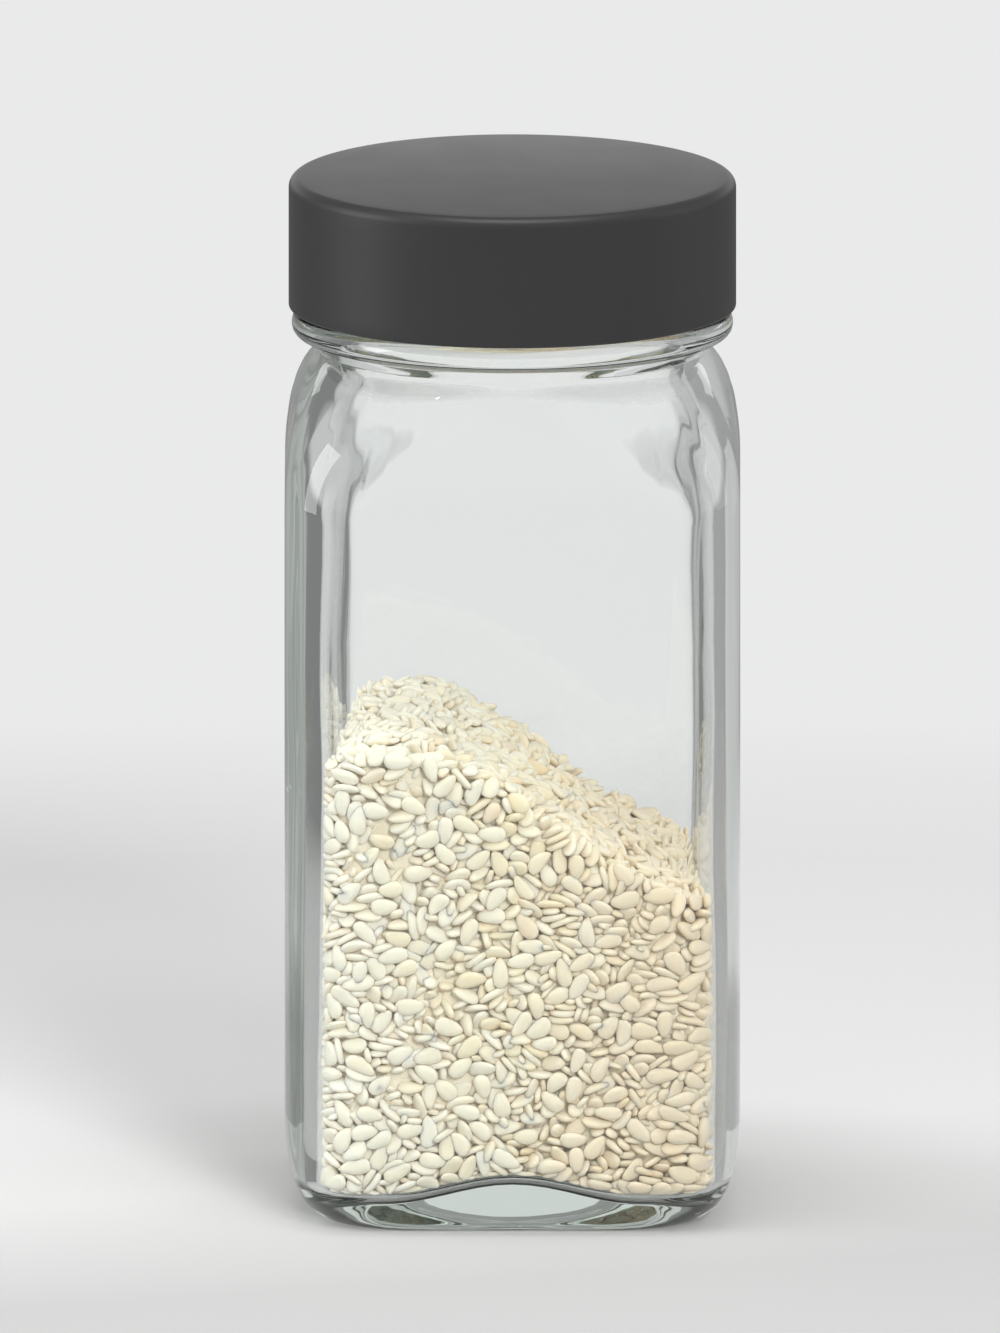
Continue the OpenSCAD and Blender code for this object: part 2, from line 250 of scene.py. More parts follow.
def lathe(name, profile, material, body, slot_name, columns=256, thread=None, floats=None):
    """A closed turned solid. The profile runs anticlockwise in the half section, from axis to axis or as a loop."""
    a = np.arange(columns) / columns * TAU
    r = np.repeat(profile[:, :1], columns, 1)
    z = np.repeat(profile[:, 1:], columns, 1)
    if thread is not None:
        r = thread(r, z, a[None])
    on_axis = profile[0, 0] < 1e-6 and profile[-1, 0] < 1e-6
    points = np.stack([r * np.cos(a), r * np.sin(a), z], -1)
    if not on_axis:
        pts = points.reshape(-1, 3)
        return piece(name, pts, [ring_faces(len(profile), columns, closed=True)], material, body, slot_name)
    inner = points[1:-1].reshape(-1, 3)
    n = len(inner)
    pts = np.concatenate([inner, [[0, 0, profile[0, 1]], [0, 0, profile[-1, 1]]]])
    faces = [
        ring_faces(len(profile) - 2, columns),
        np.concatenate([fan(0, columns, n, True), fan(n - columns, columns, n + 1)]),
    ]
    return piece(name, pts, faces, material, body, slot_name)


# ---- Material helpers ----
class Nodes:
    def __init__(self, name):
        self.mat = bpy.data.materials.new(name)
        self.mat.use_nodes = True
        self.tree = self.mat.node_tree
        self.tree.nodes.clear()
        self.out = self.tree.nodes.new("ShaderNodeOutputMaterial")

    def add(self, kind, inputs=None, **props):
        n = self.tree.nodes.new("ShaderNode" + kind)
        for key, value in props.items():
            setattr(n, key, value)
        for key, value in (inputs or {}).items():
            if isinstance(value, bpy.types.NodeSocket):
                self.tree.links.new(value, n.inputs[key])
            else:
                n.inputs[key].default_value = value
        return n

    def shader(self, surface, volume=None):
        self.tree.links.new(surface, self.out.inputs["Surface"])
        if volume is not None:
            self.tree.links.new(volume, self.out.inputs["Volume"])
        return self.mat

    def coords(self):
        return self.add("TexCoord").outputs["Object"]

    def noise(self, scale, detail=3.0, rough=0.5, vector=None):
        return self.add(
            "TexNoise", {"Vector": vector or self.coords(), "Scale": scale, "Detail": detail, "Roughness": rough}
        ).outputs["Fac"]

    def ramp(self, fac, stops):
        n = self.add("ValToRGB", {"Fac": fac})
        e = n.color_ramp.elements
        while len(e) < len(stops):
            e.new(0.5)
        for spot, (pos, col) in zip(e, stops):
            spot.position = pos
            spot.color = (*col, 1) if len(col) == 3 else col
        return n.outputs["Color"]

    def remap(self, fac, a, b, c, d):
        return self.add(
            "MapRange", {"Value": fac, "From Min": a, "From Max": b, "To Min": c, "To Max": d}
        ).outputs["Result"]

    def bump(self, height, strength, distance, normal=None):
        inputs = {"Height": height, "Strength": strength, "Distance": distance}
        if normal is not None:
            inputs["Normal"] = normal
        return self.add("Bump", inputs).outputs["Normal"]

    def math(self, op, a, b=0.0, clamp=False):
        return self.add("Math", {0: a, 1: b}, operation=op, use_clamp=clamp).outputs[0]

    def mix(self, fac, a, b):
        n = self.add("Mix", {"Factor": fac}, data_type="RGBA")
        for key, value in ((6, a), (7, b)):
            if isinstance(value, bpy.types.NodeSocket):
                self.tree.links.new(value, n.inputs[key])
            else:
                n.inputs[key].default_value = (*value, 1)
        return n.outputs[2]


def grey(v):
    return (v, v, v)


# ---- Materials ----
def glass_material():
    m = Nodes("clear_glass")
    ripple = m.noise(70, 2.0, 0.4)
    orange = m.noise(520, 1.0, 0.3)
    normal = m.bump(orange, 0.06, 0.00002, m.bump(ripple, 0.18, 0.0002))
    path = m.add("LightPath")
    body = m.add(
        "BsdfPrincipled",
        {
            "Base Color": (0.985, 0.995, 0.99, 1),
            "Roughness": 0.0,
            "IOR": 1.52,
            "Transmission Weight": 1.0,
            "Normal": normal,
        },
    )
    # Light that has been reflected to and fro in a wall leaves it at last, through painted shade: vertical grey
    # streaks that draw dark lines into the glass's edges, painted paler on the right side
    caught = m.math("GREATER_THAN", path.outputs["Glossy Depth"], 2.5)
    streak = m.add("VectorMath", {0: m.coords(), 1: (1.0, 1.0, 0.03)}, operation="MULTIPLY").outputs["Vector"]
    across = m.add("SeparateXYZ", {0: m.coords()}).outputs["X"]
    uneven = m.ramp(m.noise(640, 2.0, 0.5, streak), [(0.36, (0.40, 0.42, 0.40)), (0.62, (0.70, 0.72, 0.70))])
    paler = m.mix(m.remap(across, 0.0, 0.02, 0.0, 0.75), uneven, (1.0, 1.0, 1.0))
    leaving = m.add("BsdfTransparent", {"Color": paler})
    wall = m.add("MixShader", {0: caught, 1: body.outputs[0], 2: leaving.outputs[0]})
    clear = m.add("BsdfTransparent", {"Color": (0.75, 0.76, 0.75, 1)})
    mixed = m.add("MixShader", {0: path.outputs["Is Shadow Ray"], 1: wall.outputs[0], 2: clear.outputs[0]})
    tint = m.add("VolumeAbsorption", {"Color": (0.725, 0.925, 0.80, 1), "Density": 8.0})
    return m.shader(mixed.outputs[0], tint.outputs[0])


def plastic_material(name, colour, rough, grain, coat=0.0):
    """Moulded plastic: fine grain in the bump, slow changes of tone and gloss."""
    m = Nodes(name)
    slow = m.noise(45, 3.0, 0.5)
    fine = m.noise(5200, 2.0, 0.6)
    mid = m.noise(1400, 2.0, 0.6)
    dark = tuple(c * 0.975 for c in colour)
    light = tuple(c * 1.025 for c in colour)
    tone = m.ramp(slow, [(0.35, dark), (0.65, light)])
    height = m.math("ADD", m.math("MULTIPLY", mid, 0.4), fine)
    body = m.add(
        "BsdfPrincipled",
        {
            "Base Color": tone,
            "Roughness": m.remap(m.noise(160, 4.0, 0.6), 0.3, 0.7, rough - 0.012, rough + 0.016),
            "Normal": m.bump(height, grain, 0.00003),
            "IOR": 1.49,
            "Coat Weight": coat,
        },
    )
    return m.shader(body.outputs[0])


def seed_material():
    m = Nodes("sesame")
    tone = m.add("Attribute", attribute_name="seed_tone").outputs["Fac"]
    along = m.add("Attribute", attribute_name="seed_along").outputs["Fac"]
    hue = m.add("Attribute", attribute_name="seed_hue").outputs["Fac"]
    base = m.ramp(
        tone,
        [
            (0.0, (0.91, 0.76, 0.54)),
            (0.05, (0.94, 0.82, 0.61)),
            (0.25, (0.97, 0.85, 0.68)),
            (0.7, (0.975, 0.87, 0.715)),
            (1.0, (0.98, 0.89, 0.76)),
        ],
    )
    warm = m.mix(m.remap(hue, 0.95, 1.0, 0.0, 0.4), base, (0.86, 0.62, 0.42))
    tip = m.mix(m.remap(along, 0.86, 1.0, 0.0, 0.55), warm, (0.74, 0.55, 0.32))
    skin = m.noise(900, 3.0, 0.6)
    mottled = m.mix(m.remap(skin, 0.45, 0.75, 0.0, 0.2), tip, (0.85, 0.74, 0.54))
    # Painted light and shade: the seeds are painted whiter at the left and darker and yellower at the right, as the
    # light falls on them
    across = m.add("SeparateXYZ", {0: m.coords()}).outputs["X"]
    mottled = m.mix(m.remap(across, -0.02, 0.0, 0.5, 0.0), mottled, (1.0, 0.93, 0.84))
    mottled = m.mix(m.remap(across, 0.0, 0.02, 0.0, 0.75), mottled, (0.77, 0.65, 0.49))
    normal = m.bump(m.noise(2600, 2.0, 0.6), 0.25, 0.00003)
    body = m.add(
        "BsdfPrincipled",
        {
            "Base Color": mottled,
            "Roughness": m.remap(skin, 0.3, 0.7, 0.56, 0.7),
            "Specular IOR Level": 0.25,
            "Normal": normal,
            "IOR": 1.45,
            "Subsurface Weight": 0.8,
            "Subsurface Radius": (1.0, 0.94, 0.86),
            "Subsurface Scale": 0.0006,
        },
    )
    return m.shader(body.outputs[0])


def core_material():
    m = Nodes("sesame_shade")
    tone = m.ramp(m.noise(600, 3.0, 0.6), [(0.35, (0.90, 0.82, 0.64)), (0.65, (0.95, 0.90, 0.76))])
    body = m.add(
        "BsdfPrincipled", {"Base Color": tone, "Roughness": 0.8, "Normal": m.bump(m.noise(900), 0.6, 0.0004)}
    )
    return m.shader(body.outputs[0])


def foam_material():
    m = Nodes("liner_foam")
    cells = m.add("TexVoronoi", {"Vector": m.coords(), "Scale": 2600.0}).outputs["Distance"]
    tone = m.ramp(m.noise(220, 3.0, 0.5), [(0.35, (0.72, 0.70, 0.63)), (0.65, (0.82, 0.80, 0.74))])
    body = m.add(
        "BsdfPrincipled", {"Base Color": tone, "Roughness": 0.75, "Normal": m.bump(cells, 0.35, 0.00008)}
    )
    return m.shader(body.outputs[0])


GLASS = glass_material()
CAP = plastic_material("cap_plastic", (0.021, 0.021, 0.022), 0.46, 0.22)
CAP_INSIDE = plastic_material("cap_inner_plastic", (0.030, 0.030, 0.032), 0.34, 0.10)
INSERT = plastic_material("insert_plastic", (0.80, 0.80, 0.78), 0.36, 0.08)
FOAM = foam_material()
SEED = seed_material()
CORE = core_material()


# ---- Glass jar ----
def polar_angles(arc_steps, flat_steps):
    """Angles round the axis that fall evenly on the body's flats and, more closely, on its corners."""
    c = HALF_W - CORNER_R
    flat = np.arctan2(np.linspace(-c, c, flat_steps + 1)[:-1], HALF_W)
    a = np.linspace(0, math.pi / 2, arc_steps + 1)[:-1]
    corner = np.arctan2(c + CORNER_R * np.sin(a), c + CORNER_R * np.cos(a))
    quarter = np.concatenate([flat, corner])
    return np.concatenate([quarter + k * math.pi / 2 for k in range(4)])


def square_radius(angle, w, r):
    """Distance from the axis, at an angle, of a square of half-width w with corners of radius r."""
    r = min(r, w)
    x, y = np.abs(np.cos(angle)), np.abs(np.sin(angle))
    far, near = np.maximum(x, y), np.minimum(x, y)
    flat = w / far
    c = w - r
    b = c * (far + near)
    q = np.maximum(b * b - (2 * c * c - r * r), 0)
    return np.where(flat * near <= c, flat, b + np.sqrt(q))


def drawn_in(t):
    full = 1 - math.sqrt(1 - SHOULDER_SHARE**2)
    return (1 - np.sqrt(1 - (t * SHOULDER_SHARE) ** 2)) / full


def edge_share(u):
    return (1 - np.cos(math.pi * np.minimum(1, np.abs(u) / FLOOR_DIP_AT))) / 2


def floor_at(x, y):
    return FLOOR_Z - (FLOOR_Z - FLOOR_CORNER_Z) * edge_share(x) * edge_share(y)


THICKER = 0.6
ANGLES = polar_angles(30, 14)
COLS = len(ANGLES)


def ring(radius, z):
    radius = np.broadcast_to(radius, (COLS,))
    return np.stack([radius * np.cos(ANGLES), radius * np.sin(ANGLES), np.broadcast_to(z, (COLS,))], -1)


def waves(points, amount, seed, scale):
    """A smooth uneven field, from a few plane waves: the glass is never quite even."""
    rng = np.random.default_rng(seed)
    out = np.zeros(len(points))
    for _ in range(14):
        k = rng.normal(size=3) * scale * np.array([1, 1, 0.45])
        out += np.sin(points @ k + rng.uniform(0, TAU))
    return out * amount / math.sqrt(7)


def thickened(points):
    """The glass is thicker on its left, so all that lies inside is shifted in there."""
    x = points[..., 0]
    t = np.clip((-x / INNER_HALF_W - 0.3) / 0.7, 0, 1)
    points = points.copy()
    points[..., 0] = x + THICKER * t * t * (3 - 2 * t)
    return points


def glass_rings():
    rings = []
    ball_r = (PUNT_R**2 + PUNT_H**2) / (2 * PUNT_H)
    for r in np.linspace(1.5, PUNT_R - 0.3, 10):
        rings.append(ring(r, PUNT_H - ball_r + math.sqrt(ball_r**2 - r * r)))
    foot = square_radius(ANGLES, HALF_W - HEEL_IN, FOOT_CORNER_R)
    rings.append(ring(PUNT_R + 0.2, 0))
    for k in (0.35, 0.8, 0.97):
        rings.append(ring((PUNT_R + 0.2) * (1 - k) + foot * k, 0))
    for a in np.radians(np.linspace(90, 0, 26)):
        inset = HEEL_IN * (1 - math.cos(a))
        z = HEEL_H * (1 - math.sin(a))
        blend = max(0, 1 - z / FOOT_BLEND_H) ** 2
        r = CORNER_R - inset + blend * (FOOT_CORNER_R - CORNER_R + HEEL_IN)
        rings.append(ring(square_radius(ANGLES, HALF_W - inset, r), z))
    for z in np.linspace(HEEL_H, BODY_H, 16)[1:-1]:
        rings.append(ring(square_radius(ANGLES, HALF_W, CORNER_R), z))
    for t in np.linspace(0, 0.97, 30):
        k = drawn_in(t)
        w = HALF_W + (NECK_R - HALF_W) * k
        r = CORNER_R + (NECK_R - CORNER_R) * k
        rings.append(ring(square_radius(ANGLES, w, r), BODY_H + SHOULDER_H * t))
    # The crease with the neck is a small hollow, and so is the bead's foot
    for x, z in joined(
        [
            arc(NECK_R + 0.55, CREASE_Z + 0.45, 0.55, 200, 180, 4),
            line(NECK_R, CREASE_Z + 0.7, NECK_R, BEAD_Z - 0.5, 4),
            arc(NECK_R + 0.4, BEAD_Z - 0.4, 0.4, 180, 90, 5),
            arc(BEAD_R - BEAD_EDGE_R, BEAD_Z + BEAD_EDGE_R, BEAD_EDGE_R, -90, 0, 10),
            arc(BEAD_R - BEAD_EDGE_R, BEAD_TOP_Z - BEAD_EDGE_R, BEAD_EDGE_R, 0, 90, 10),
            arc(NECK_R + 0.4, BEAD_TOP_Z + 0.4, 0.4, 270, 180, 5),
        ]
    ):
        rings.append(ring(x, z))
    for z in np.linspace(BEAD_TOP_Z + 0.5, RIM_Z - RIM_R, 64):
        ridge = helix_height(z, ANGLES, MALE_Z, MALE_TURNS, 0, CREST_W, ROOT_W)
        rings.append(ring(NECK_R + THREAD_DEPTH * ridge, z))
    for x, z in joined(
        [
            arc(NECK_R - RIM_R, RIM_Z - RIM_R, RIM_R, 0, 90, 8),
            arc(BORE_R + 0.3, RIM_Z - 0.3, 0.3, 90, 180, 5),
            line(BORE_R, RIM_Z - 0.4, BORE_R, INNER_SHOULDER_TOP_Z + 0.4, 12),
        ]
    ):
        rings.append(ring(x, z))
    outer = len(rings)
    for t in np.linspace(0.985, 0, 36):
        k = t * t * (3 - 2 * t)
        w = INNER_HALF_W + (BORE_R - INNER_HALF_W) * k
        r = INNER_CORNER_R + (BORE_R - INNER_CORNER_R) * k
        rings.append(ring(square_radius(ANGLES, w, r), INNER_SHOULDER_Z + INNER_SHOULDER_H * t))
    # The straight wall starts where the floor's fillet ends, which follows the wavy floor
    fillet_top = None
    fillet = []
    for a in np.radians(np.linspace(0, 90, 18)):
        w = INNER_HALF_W - FLOOR_FILLET * (1 - math.sin(a))
        r = FLOOR_CORNER_R + (INNER_CORNER_R - FLOOR_CORNER_R) * math.sin(a)
        p = ring(square_radius(ANGLES, w, r), 0)
        p[:, 2] = floor_at(p[:, 0], p[:, 1]) + FLOOR_FILLET * (1 - math.cos(a))
        fillet.append(p)
    fillet_top = fillet[-1]
    for k in np.linspace(0, 1, 18)[1:-1]:
        p = ring(square_radius(ANGLES, INNER_HALF_W, INNER_CORNER_R), 0)
        p[:, 2] = INNER_SHOULDER_Z * (1 - k) + fillet_top[:, 2] * k
        rings.append(p)
    rings += fillet[::-1]
    for k in np.linspace(1, 0, 14)[1:-1]:
        p = ring(square_radius(ANGLES, FLOOR_HALF_W * k, FLOOR_CORNER_R * k), 0)
        p[:, 2] = floor_at(p[:, 0], p[:, 1])
        rings.append(p)
    return rings, outer


def build_glass():
    rings, outer = glass_rings()
    pts = np.concatenate(rings)
    n = len(pts)
    inner = np.arange(n) >= outer * COLS
    # The inside is blown, so it is wavier than the moulded outside; neither leaves the solid's outline
    flat = pts * np.array([1, 1, 0])
    out = flat / np.maximum(np.linalg.norm(flat, axis=1), 1)[:, None]
    inside_wave = 0.14 + waves(pts, 0.09, 5, 0.16) + waves(pts, 0.04, 6, 0.42)
    inside_wave += waves(pts * np.array([1, 1, 0.08]), 0.012, 8, 1.3)
    outside_wave = -np.abs(waves(pts, 0.035, 7, 0.2))
    still = np.clip((RIM_Z - 14 - pts[:, 2]) / 4, 0, 1) * np.clip(pts[:, 2] / 4, 0, 1)
    pts = pts + out * (np.where(inner, inside_wave, outside_wave) * still)[:, None]
    body = inner & (pts[:, 2] < INNER_SHOULDER_TOP_Z)
    upper = np.clip((INNER_SHOULDER_TOP_Z - pts[:, 2]) / INNER_SHOULDER_H, 0, 1)[:, None]
    pts = np.where(body[:, None], pts + (thickened(pts) - pts) * upper, pts)
    low_centre, floor_centre = n, n + 1
    pts = np.concatenate([pts, [[0, 0, PUNT_H], [0, 0, FLOOR_Z]]])
    faces = [
        ring_faces(len(rings), COLS),
        np.concatenate([fan(0, COLS, low_centre, True), fan(n - COLS, COLS, floor_centre)]),
    ]
    glass = piece("glass_body", pts, faces, GLASS, "jar", "glass")
    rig.replaces(glass, "glass_jar")
    return glass


build_glass()


# ---- Cap ----
def build_cap():
    shell = joined(
        [
            [[0, CAP_TOP_Z]],
            line(0.5, CAP_TOP_Z, CAP_R - CAP_EDGE_R, CAP_TOP_Z, 14),
            arc(CAP_R - CAP_EDGE_R, CAP_TOP_Z - CAP_EDGE_R, CAP_EDGE_R, 90, 0, 14),
            line(CAP_R, CAP_TOP_Z - CAP_EDGE_R, CAP_R, CAP_Z + CAP_LIP_R, 10),
            arc(CAP_R - CAP_LIP_R, CAP_Z + CAP_LIP_R, CAP_LIP_R, 0, -90, 6),
            arc(SHELL_R + 0.15, CAP_Z + 0.15, 0.15, -90, -180, 4),
            line(SHELL_R, CAP_Z + 0.2, SHELL_R, CAP_TOP_Z - SHELL_TOP_T - 0.3, 6),
            arc(SHELL_R - 0.3, CAP_TOP_Z - SHELL_TOP_T - 0.3, 0.3, 0, 90, 4),
            line(SHELL_R - 0.4, CAP_TOP_Z - SHELL_TOP_T, 0.5, CAP_TOP_Z - SHELL_TOP_T, 6),
            [[0, CAP_TOP_Z - SHELL_TOP_T]],
        ]
    )[::-1]
    cap = lathe("cap_shell_moulding", shell, CAP, "cap", "cap_plastic", 288)
    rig.replaces(cap, "cap_shell")

    inner = joined(
        [
            [[0, INNER_TOP_Z]],
            line(0.5, INNER_TOP_Z, INNER_R - 0.5, INNER_TOP_Z, 8),
            arc(INNER_R - 0.5, INNER_TOP_Z - 0.5, 0.5, 90, 0, 5),
            line(INNER_R, INNER_TOP_Z - 0.6, INNER_R, INNER_Z + 0.2, 6),
            arc(INNER_R - 0.2, INNER_Z + 0.2, 0.2, 0, -90, 4),
            arc(ROOT_R + 0.2, INNER_Z + 0.2, 0.2, -90, -180, 4),
            line(ROOT_R, INNER_Z + 0.25, ROOT_R, PLATE_TOP_Z - KEEPER_H - KEEPER_IN / 2 - 0.05, 88),
            line(ROOT_R, PLATE_TOP_Z - KEEPER_H - KEEPER_IN / 2, KEEPER_R + 0.1, PLATE_TOP_Z - KEEPER_H / 2, 5),
            arc(KEEPER_R + 0.15, PLATE_TOP_Z - 0.2, 0.15, 180, 90, 4),
            line(KEEPER_R + 0.2, PLATE_TOP_Z - 0.04, ROOT_R, PLATE_TOP_Z - 0.02, 3),
            line(ROOT_R, PLATE_TOP_Z, ROOT_R, LINER_TOP_Z - 0.05, 4),
            line(ROOT_R - 0.05, LINER_TOP_Z, 0.5, LINER_TOP_Z, 8),
            [[0, LINER_TOP_Z]],
        ]
    )[::-1]
    start = TAU * (FEMALE_Z - MALE_Z + RIDGE_DROP) / PITCH

    def cap_thread(r, z, a):
        ridge = helix_height(z, a, FEMALE_Z, FEMALE_TURNS, start % TAU, CREST_W, ROOT_W)
        ridge += helix_height(z, a, FEMALE_Z, FEMALE_TURNS, start % TAU - TAU, CREST_W, ROOT_W)
        on_wall = (np.abs(r - ROOT_R) < 1e-6) & (z < PLATE_TOP_Z - 1)
        return r - np.where(on_wall, THREAD_DEPTH * np.minimum(ridge, 1), 0)

    lining = lathe("cap_thread_lining", inner, CAP_INSIDE, "cap", "cap_inner_plastic", 256, cap_thread)
    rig.replaces(lining, "cap_inner")

    disc = joined(
        [
            [[0, LINER_TOP_Z]],
            line(0.5, LINER_TOP_Z, LINER_R - 0.25, LINER_TOP_Z, 10),
            arc(LINER_R - 0.25, LINER_TOP_Z - 0.25, 0.25, 90, 0, 5),
            arc(LINER_R - 0.25, PLATE_TOP_Z + 0.25, 0.25, 0, -90, 5),
            line(LINER_R - 0.3, PLATE_TOP_Z, 0.5, PLATE_TOP_Z, 10),
            [[0, PLATE_TOP_Z]],
        ]
    )[::-1]
    liner = lathe("cap_liner_disc", disc, FOAM, "liner", "liner_foam", 192)
    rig.replaces(liner, "cap_liner")


build_cap()


# ---- Shaker insert ----
def build_insert():
    import bmesh

    bm = bmesh.new()
    edge = 0.25

    def circle(cx, cy, r, z, n):
        a = np.arange(n) / n * TAU
        return [bm.verts.new((cx + r * math.cos(t), cy + r * math.sin(t), z)) for t in a]

    def band(lower, upper):
        n = len(lower)
        for i in range(n):
            bm.faces.new((lower[i], lower[(i + 1) % n], upper[(i + 1) % n], upper[i]))

    def stack(cx, cy, profile, n):
        loops = [circle(cx, cy, r, z, n) for r, z in profile]
        for a, b in zip(loops, loops[1:]):
            band(a, b)
        return loops[0], loops[-1]

    def fill(loops):
        edges = []
        for loop in loops:
            for i in range(len(loop)):
                pair = (loop[i], loop[(i + 1) % len(loop)])
                edges.append(bm.edges.get(pair) or bm.edges.new(pair))
        bmesh.ops.triangle_fill(bm, use_beauty=True, use_dissolve=False, edges=edges)

    centres = [(0, 0)] + [
        (SIFT_RING_R * math.cos(TAU * i / SIFT_COUNT), SIFT_RING_R * math.sin(TAU * i / SIFT_COUNT))
        for i in range(SIFT_COUNT)
    ]
    # Each hole runs from the plate's under side to its top, with rounded edges
    hole = joined(
        [
            arc(SIFT_R + edge, RIM_Z + edge, edge, 270, 180, 5),
            arc(SIFT_R + edge, PLATE_TOP_Z - edge, edge, 180, 90, 5),
        ]
    )[::-1]
    tops, lows = [], []
    for cx, cy in centres:
        top, low = stack(cx, cy, hole, 48)
        tops.append(top)
        lows.append(low)
    skirt_in = SKIRT_R - SKIRT_T
    outside = joined(
        [
            line(skirt_in - 0.2, RIM_Z, skirt_in, RIM_Z - 0.2, 3),
            line(skirt_in, RIM_Z - 0.4, skirt_in, RIM_Z - SKIRT_H + 0.2, 5),
            arc(skirt_in + 0.2, RIM_Z - SKIRT_H + 0.2, 0.2, 180, 270, 4),
            arc(SKIRT_R - 0.45, RIM_Z - SKIRT_H + 0.45, 0.45, 270, 360, 5),
            line(SKIRT_R, RIM_Z - SKIRT_H + 0.6, SKIRT_R, RIM_Z - 3.0, 4),
            arc(SNAP_R - 0.9, RIM_Z - 2.1, 0.9, -36, 36, 7),
            line(SKIRT_R, RIM_Z - 1.2, SKIRT_R, RIM_Z - 0.2, 3),
            line(SKIRT_R + 0.1, RIM_Z, PLATE_R - 0.3, RIM_Z, 4),
            arc(PLATE_R - 0.3, RIM_Z + 0.3, 0.3, -90, 0, 5),
            arc(PLATE_R - 0.3, PLATE_TOP_Z - 0.3, 0.3, 0, 90, 5),
        ]
    )
    first, last = stack(0, 0, outside, 192)
    fill([last] + tops)
    fill([first] + lows)
    bmesh.ops.recalc_face_normals(bm, faces=bm.faces)
    mesh = bpy.data.meshes.new("shaker_disc")
    bm.transform(__import__("mathutils").Matrix.Scale(MM, 4))
    bm.to_mesh(mesh)
    bm.free()
    mesh.polygons.foreach_set("use_smooth", np.ones(len(mesh.polygons), bool))
    mesh.materials.append(INSERT)
    obj = bpy.data.objects.new("shaker_disc", mesh)
    bpy.context.scene.collection.objects.link(obj)
    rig.ride(obj, "jar")
    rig.slot(obj, "insert_plastic")
    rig.replaces(obj, "shaker_insert")
    return obj


build_insert()


# ---- Sesame ----
def heap_at(x):
    run = np.where(x < -HEAP_CREST, HEAP_BACK_RUN, HEAP_RUN)
    u = np.minimum(1, np.abs(x + HEAP_CREST) / run)
    return HEAP_LOW + (HEAP_HIGH - HEAP_LOW) * (1 + np.cos(math.pi * u)) / 2


def heap_normal_z(x):
    slope = (heap_at(x + 0.05) - heap_at(x - 0.05)) / 0.1
    return 1 / np.sqrt(1 + slope * slope)


def cavity_gap(p):
    """How far a point lies inside the glass's inner surface, in mm."""
    c = INNER_HALF_W - INNER_CORNER_R
    qx, qy = np.abs(p[:, 0]) - c, np.abs(p[:, 1]) - c
    wall = INNER_CORNER_R - np.hypot(np.maximum(qx, 0), np.maximum(qy, 0)) - np.minimum(np.maximum(qx, qy), 0)
    low = p[:, 2] - floor_at(p[:, 0], p[:, 1])
    f = FLOOR_FILLET
    corner = f - np.hypot(np.maximum(f - wall, 0), np.maximum(f - low, 0))
    return np.where((wall < f) & (low < f), corner, np.minimum(wall, low))


def top_gap(p):
    return (heap_at(p[:, 0]) - p[:, 2]) * heap_normal_z(p[:, 0])


def gradient(field, p):
    h = 0.05
    g = np.empty_like(p)
    for k in range(3):
        d = np.zeros(3)
        d[k] = h
        g[:, k] = field(p + d) - field(p - d)
    return g / np.maximum(np.linalg.norm(g, axis=1), 1e-9)[:, None]


BALL_R = 0.46
BALLS = np.array(
    [[-1.08, 0.34, 0], [-1.08, -0.34, 0], [-0.3, 0.55, 0], [-0.3, -0.55, 0], [0.5, 0.38, 0], [0.5, -0.38, 0], [1.18, 0, 0]]
)
SHELL = 2.6
HIDDEN_AT = 1.95
PIECE_SEEDS = 1350
SEED_SIZE = 0.93


def touching(p, owner, reach):
    """Pairs of balls of different seeds that lie closer than reach, found on a grid."""
    cell = np.floor(p / reach).astype(np.int64)
    cell -= cell.min(0) - 1
    size = cell.max(0) + 2
    key = (cell[:, 0] * size[1] + cell[:, 1]) * size[2] + cell[:, 2]
    order = np.argsort(key, kind="stable")
    sorted_key = key[order]
    found = []
    for dx in (-1, 0, 1):
        for dy in (-1, 0, 1):
            for dz in (-1, 0, 1):
                shift = (dx * size[1] + dy) * size[2] + dz
                if shift < 0:
                    continue
                lo = np.searchsorted(sorted_key, key + shift, "left")
                hi = np.searchsorted(sorted_key, key + shift, "right")
                count = hi - lo
                a = np.repeat(np.arange(len(p)), count)
                first = np.repeat(lo, count)
                step = np.arange(len(a)) - np.repeat(np.cumsum(count) - count, count)
                b = order[first + step]
                keep = owner[a] != owner[b]
                if shift == 0:
                    keep &= a < b
                a, b = a[keep], b[keep]
                close = ((p[a] - p[b]) ** 2).sum(1) < reach * reach
                found.append(np.stack([a[close], b[close]]))
    return np.concatenate(found, 1)


def random_turns(rng, count, points):
    """Rotation matrices: most seeds lie nearly level, some face the nearest wall, a few stand anyhow."""
    near = gradient(cavity_gap, points)
    up = np.tile([0.0, 0.0, 1.0], (count, 1))
    kind = rng.random(count) * np.where(cavity_gap(points) < 1.4, 0.66, 1.4)
    normal = np.where((kind < 0.4)[:, None], near, up)
    tilt = np.where(kind < 0.4, 0.26, np.where(kind < 0.95, 0.36, 3.0))
    normal = normal + rng.normal(size=(count, 3)) * tilt[:, None]
    normal /= np.linalg.norm(normal, axis=1)[:, None]
    lie = rng.normal(size=(count, 3)) * np.array([1, 1, 0.45])
    lie -= (lie * normal).sum(1)[:, None] * normal
    lie /= np.linalg.norm(lie, axis=1)[:, None]
    side = np.cross(normal, lie)
    return np.stack([lie, side, normal], -1)


